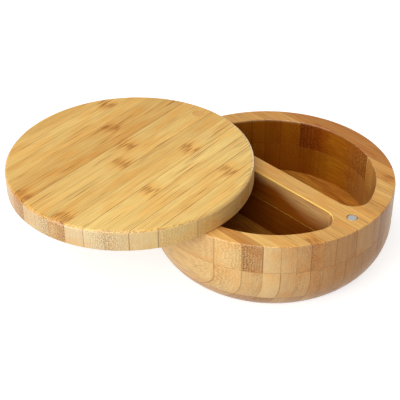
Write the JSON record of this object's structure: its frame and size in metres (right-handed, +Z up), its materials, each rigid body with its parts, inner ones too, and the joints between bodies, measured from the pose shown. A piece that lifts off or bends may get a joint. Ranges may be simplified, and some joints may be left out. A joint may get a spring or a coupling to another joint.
{
  "type": "salt box with swivel lid",
  "caption": "Round bamboo salt box with two half-moon pockets and a flat lid that swivels aside on an upright pin and is held shut by magnets.",
  "frame": {"origin": "centre of the flat foot, on the table, below the middle of the divider", "axes": "+X along the divider from the pivot to the magnet, +Y across it to the left pocket, +Z up"},
  "size_m": [0.2085, 0.2182, 0.0658],
  "materials": {
    "bamboo_straw": "satin, oiled and sanded",
    "bamboo_honey": "satin, oiled and sanded",
    "bamboo_amber": "satin, oiled and sanded",
    "bamboo_toast": "satin, oiled and sanded",
    "bamboo_plug": "satin, end grain",
    "screw_steel": "zinc plated",
    "magnet_nickel": "nickel plated, satin"
  },
  "bodies": {
    "box": {"base_middle_left": "bamboo_straw", "base_middle_right": "bamboo_straw", "base_strip_pair_10": "bamboo_straw", "base_strip_pair_2": "bamboo_toast", "base_strip_pair_3": "bamboo_honey", "base_strip_pair_4": "bamboo_amber", "base_strip_pair_5": "bamboo_straw", "base_strip_pair_6": "bamboo_honey", "base_strip_pair_7": "bamboo_straw", "base_strip_pair_8": "bamboo_amber", "base_strip_pair_9": "bamboo_honey", "pivot_screw": "screw_steel", "pivot_washer": "screw_steel", "rim_divider_left": "bamboo_honey", "rim_divider_right": "bamboo_honey", "rim_magnet": "magnet_nickel", "rim_strip_pair_10": "bamboo_honey", "rim_strip_pair_11": "bamboo_straw", "rim_strip_pair_2": "bamboo_straw", "rim_strip_pair_3": "bamboo_amber", "rim_strip_pair_4": "bamboo_honey", "rim_strip_pair_5": "bamboo_straw", "rim_strip_pair_6": "bamboo_toast", "rim_strip_pair_7": "bamboo_honey", "rim_strip_pair_8": "bamboo_amber", "rim_strip_pair_9": "bamboo_straw", "wall_divider_left": "bamboo_amber", "wall_divider_right": "bamboo_amber", "wall_strip_pair_10": "bamboo_amber", "wall_strip_pair_11": "bamboo_honey", "wall_strip_pair_2": "bamboo_honey", "wall_strip_pair_3": "bamboo_straw", "wall_strip_pair_4": "bamboo_toast", "wall_strip_pair_5": "bamboo_honey", "wall_strip_pair_6": "bamboo_amber", "wall_strip_pair_7": "bamboo_straw", "wall_strip_pair_8": "bamboo_honey", "wall_strip_pair_9": "bamboo_straw"},
    "lid": {"lid_left_strip_1": "bamboo_honey", "lid_left_strip_2": "bamboo_straw", "lid_left_strip_3": "bamboo_amber", "lid_left_strip_4": "bamboo_honey", "lid_left_strip_5": "bamboo_straw", "lid_left_strip_6": "bamboo_toast", "lid_left_strip_7": "bamboo_honey", "lid_magnet": "magnet_nickel", "lid_middle_strip": "bamboo_straw", "lid_right_strip_1": "bamboo_honey", "lid_right_strip_2": "bamboo_straw", "lid_right_strip_3": "bamboo_amber", "lid_right_strip_4": "bamboo_honey", "lid_right_strip_5": "bamboo_straw", "lid_right_strip_6": "bamboo_toast", "lid_right_strip_7": "bamboo_honey", "pivot_plug": "bamboo_plug"}
  },
  "joints": [
    {"name": "lid_swivel", "type": "hinge", "parent": "box", "child": "lid", "pos_m": [-0.067, 0, 0.0523], "axis": [0, 0, 1], "continuous": true}
  ]
}
